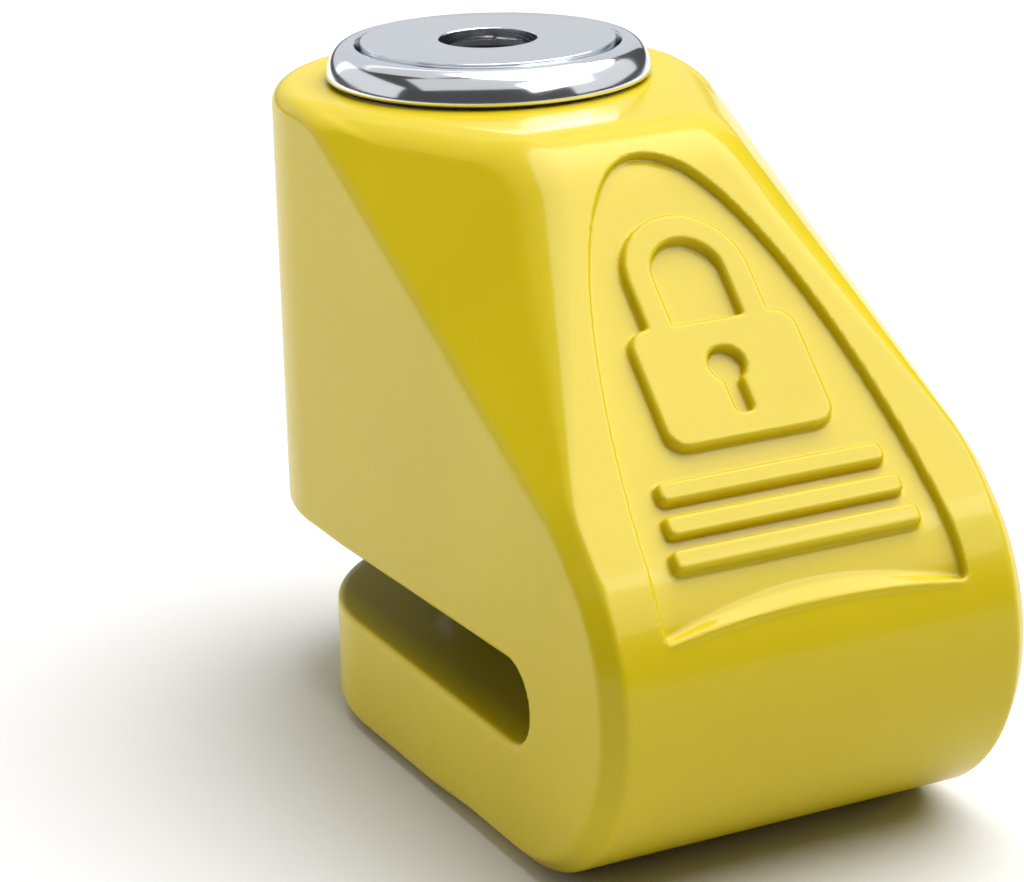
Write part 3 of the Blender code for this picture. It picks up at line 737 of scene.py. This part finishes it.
def turned_metal(name, colour, dark, roughness):
    """Lathe-turned metal: fine rings about Z, with roughness that varies."""
    made, tree, shader = new_material(name)
    coords = object_coords(tree)
    rings = node(tree, "ShaderNodeTexNoise", {"Scale": 900.0, "Detail": 3.0})
    stretch = node(tree, "ShaderNodeMapping", {"Vector": coords, "Scale": (0.03, 0.03, 1.0)})
    tree.links.new(stretch.outputs["Vector"], rings.inputs["Vector"])
    tint = ramp(tree, rings.outputs["Fac"], [(0.3, dark), (0.65, colour)])
    tree.links.new(tint, shader.inputs["Base Color"])
    add_bump(tree, shader, rings.outputs["Fac"], 0.15, 0.0002)
    smooth, dull = grey(roughness - 0.06), grey(roughness + 0.08)
    rough = ramp(tree, rings.outputs["Fac"], [(0.3, smooth), (0.7, dull)])
    tree.links.new(rough, shader.inputs["Roughness"])
    shader.inputs["Metallic"].default_value = 1.0
    return made


def rubber():
    made, tree, shader = new_material("seal_rubber")
    coords = object_coords(tree)
    grain = node(tree, "ShaderNodeTexNoise", {"Vector": coords, "Scale": 700.0, "Detail": 2.0})
    add_bump(tree, shader, grain.outputs["Fac"], 0.2, 0.0002)
    tint = ramp(tree, grain.outputs["Fac"], [(0.3, grey(0.012)), (0.7, grey(0.028))])
    tree.links.new(tint, shader.inputs["Base Color"])
    shader.inputs["Roughness"].default_value = 0.6
    return made


def dress(made, finish, slot_name, body, *nodes):
    made.data.materials.clear()
    made.data.materials.append(finish)
    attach(made, body)
    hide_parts(*nodes)
    return made


PAINT = yellow_paint()
CHROME = chrome()
STEEL = turned_metal("plated_steel", (0.62, 0.63, 0.65), (0.50, 0.51, 0.53), 0.28)
HARDENED = turned_metal("hardened_steel", (0.48, 0.48, 0.50), (0.36, 0.36, 0.38), 0.24)
BRASS = turned_metal("stamped_brass", (0.78, 0.58, 0.26), (0.62, 0.44, 0.17), 0.30)
SPRING = turned_metal("spring_wire", (0.56, 0.56, 0.57), (0.42, 0.42, 0.43), 0.26)
RUBBER = rubber()

FINISHES = {
    "painted_body": PAINT,
    "chrome": CHROME,
    "plated_steel": STEEL,
    "hardened_steel": HARDENED,
    "brass": BRASS,
    "spring_steel": SPRING,
    "seal_rubber": RUBBER,
}


def dress_nodes():
    """Gives every CAD node the finish of its material slot."""
    for part in frame["record"]["subparts"]:
        target = frame["nodes"][part["node"]]
        finish = FINISHES[part["material_slot"]]
        if not target.data.materials:
            target.data.materials.append(finish)
        for index in range(len(target.data.materials)):
            target.data.materials[index] = finish
        target.data.shade_smooth()
        target.data.set_sharp_from_angle(angle=math.radians(32))
        edge = target.modifiers.new("edge_break", "BEVEL")
        edge.width = EDGE_BREAK * MM
        edge.segments = 2
        edge.limit_method = "ANGLE"
        edge.angle_limit = math.radians(34)


# ---------------------------------------------------------------- stage, light and camera
# Metres and radians, except where a comment says otherwise.
FLOOR_REACH = 1.5
FLOOR_GAP = 0.0002
ROOM_LEVEL = 0.08
BACKDROP_LEVEL = 0.97
LIGHT_AIM = (0.015, 0, 0.03)
KEY_SPREAD = math.radians(66)
KEY_STRENGTH = 4.75
KEY_TRAVEL = (-0.03, -0.40, -0.92)
COOL_WHITE = (0.93, 0.96, 1.0)
CARD_DISTANCE = 1.3
# Each card is its name, azimuth and elevation in degrees, size in metres and power in watts.
CARDS = (
    ("front_card", 63, 57, (2.5, 1.0), 5.1),
    ("left_card", -40, 20, (1.9, 0.6), 2.7),
    ("right_card", 160, 23, (1.7, 0.7), 2.8),
    ("nose_card", 120, 38, (1.1, 0.6), 6.2),
)
# The camera's aim and distance are in millimetres.
CAMERA_LENS_MM = 116.09
CAMERA_SENSOR_MM = 36.0
CAMERA_SHIFT = (-0.0294, -0.0747)
CAMERA_YAW, CAMERA_PITCH, CAMERA_ROLL = 2.672, 0.301, 0.022
CAMERA_AIM = (9.905, 0, 33.0)
CAMERA_DISTANCE = 315.02


def plain(name, colour, roughness):
    made, tree, shader = new_material(name)
    shader.inputs["Base Color"].default_value = (*colour, 1)
    shader.inputs["Roughness"].default_value = roughness
    return made


def make_stage():
    mesh = bpy.data.meshes.new("floor")
    corners = [(-FLOOR_REACH, -FLOOR_REACH, 0), (FLOOR_REACH, -FLOOR_REACH, 0)]
    corners += [(FLOOR_REACH, FLOOR_REACH, 0), (-FLOOR_REACH, FLOOR_REACH, 0)]
    mesh.from_pydata(corners, [], [(0, 1, 2, 3)])
    floor = bpy.data.objects.new("floor", mesh)
    floor.location.z = -FLOOR_GAP
    bpy.context.collection.objects.link(floor)
    floor.data.materials.append(plain("pale_floor", (0.665, 0.665, 0.66), 0.6))


def area_light(name, place, target, size, power, colour=(1, 1, 1)):
    data = bpy.data.lights.new(name, "AREA")
    data.shape = "RECTANGLE"
    data.size, data.size_y = size
    data.energy = power
    data.color = colour
    made = bpy.data.objects.new(name, data)
    made.location = place
    made.rotation_euler = (Vector(target) - Vector(place)).to_track_quat("-Z", "Y").to_euler()
    bpy.context.collection.objects.link(made)
    return made


def direction(azimuth, elevation):
    """A unit vector at so many degrees round from -Y towards +X, and above the floor."""
    turn, rise = math.radians(azimuth), math.radians(elevation)
    return Vector((math.sin(turn) * math.cos(rise), -math.cos(turn) * math.cos(rise), math.sin(rise)))


def make_room():
    """A dim room for the chrome to show, behind a backdrop that is as pale as the floor."""
    world = bpy.data.worlds.new("studio")
    world.use_nodes = True
    tree = world.node_tree
    seen = tree.nodes.new("ShaderNodeLightPath").outputs["Is Camera Ray"]
    level = node(tree, "ShaderNodeMapRange", {"Value": seen})
    level.inputs["To Min"].default_value = ROOM_LEVEL
    level.inputs["To Max"].default_value = BACKDROP_LEVEL
    tree.links.new(level.outputs[0], tree.nodes["Background"].inputs["Strength"])
    tree.nodes["Background"].inputs["Color"].default_value = (1, 1, 1, 1)
    bpy.context.scene.world = world


def make_lights():
    """A wide soft key overhead, a low fill on the left, a pale wall behind, and cards for the gloss."""
    data = bpy.data.lights.new("key", "SUN")
    data.angle = KEY_SPREAD
    data.energy = KEY_STRENGTH
    key = bpy.data.objects.new("key", data)
    key.rotation_euler = Vector(KEY_TRAVEL).to_track_quat("-Z", "Y").to_euler()
    bpy.context.collection.objects.link(key)
    area_light("back_wall", (-1.15, 0.28, 0.60), LIGHT_AIM, (1.9, 1.0), 4.0, COOL_WHITE)
    area_light("ceiling", (-0.55, 0.0, 1.15), LIGHT_AIM, (1.5, 1.1), 3.4)
    fill = area_light("left_fill", (-0.80, -0.70, 0.17), LIGHT_AIM, (0.6, 0.3), 4.4)
    fill.visible_glossy = False
    for name, azimuth, elevation, size, power in CARDS:
        place = direction(azimuth, elevation) * CARD_DISTANCE
        card = area_light(name, place, LIGHT_AIM, size, power)
        card.visible_diffuse = False


def make_camera():
    """The camera stands in front and to the left, a little above the cap, looking down at the body."""
    data = bpy.data.cameras.new("camera")
    data.sensor_width = CAMERA_SENSOR_MM
    data.lens = CAMERA_LENS_MM
    data.shift_x, data.shift_y = CAMERA_SHIFT
    data.clip_start = 0.01
    made = bpy.data.objects.new("camera", data)
    yaw, pitch, roll = CAMERA_YAW, CAMERA_PITCH, CAMERA_ROLL
    forward = Vector((math.cos(yaw) * math.cos(pitch), math.sin(yaw) * math.cos(pitch), -math.sin(pitch)))
    right = Vector((math.sin(yaw), -math.cos(yaw), 0))
    down = forward.cross(right)
    right_rolled = right * math.cos(roll) + down * math.sin(roll)
    down_rolled = down * math.cos(roll) - right * math.sin(roll)
    place = (Vector(CAMERA_AIM) - forward * CAMERA_DISTANCE) * MM
    turn = Matrix((right_rolled, -down_rolled, -forward)).transposed().to_4x4()
    made.matrix_world = Matrix.Translation(place) @ turn
    bpy.context.collection.objects.link(made)
    bpy.context.scene.camera = made


def main():
    bpy.context.scene.view_settings.view_transform = "Standard"
    make_camera()
    make_stage()
    make_room()
    make_lights()
    dress_nodes()
    dress(make_housing(), PAINT, "painted_body", "body", "housing")
    dress(make_bezel(), CHROME, "chrome", "body", "bezel_ring")
    dress(make_cap(), CHROME, "chrome", "lock_cylinder", "cylinder_cap")
    guide = make_bush("guide_bush_fine", GUIDE_LOW, GUIDE_HIGH)
    dress(guide, HARDENED, "hardened_steel", "body", "guide_bush")
    receiver = make_bush("receiver_bush_fine", RECEIVER_LOW, RECEIVER_HIGH)
    dress(receiver, HARDENED, "hardened_steel", "body", "receiver_bush")
    dress(make_stop_plug(), STEEL, "plated_steel", "body", "stop_pin_plug")
    dress(make_drill_guard(), HARDENED, "hardened_steel", "key_plug", "drill_guard")
    dress(make_return_spring(), SPRING, "spring_steel", "body", "return_spring")
    latch_spring = make_latch_spring()
    dress(latch_spring, SPRING, "spring_steel", "lock_cylinder", "latch_spring")
    squash_latch_spring(latch_spring)


main()
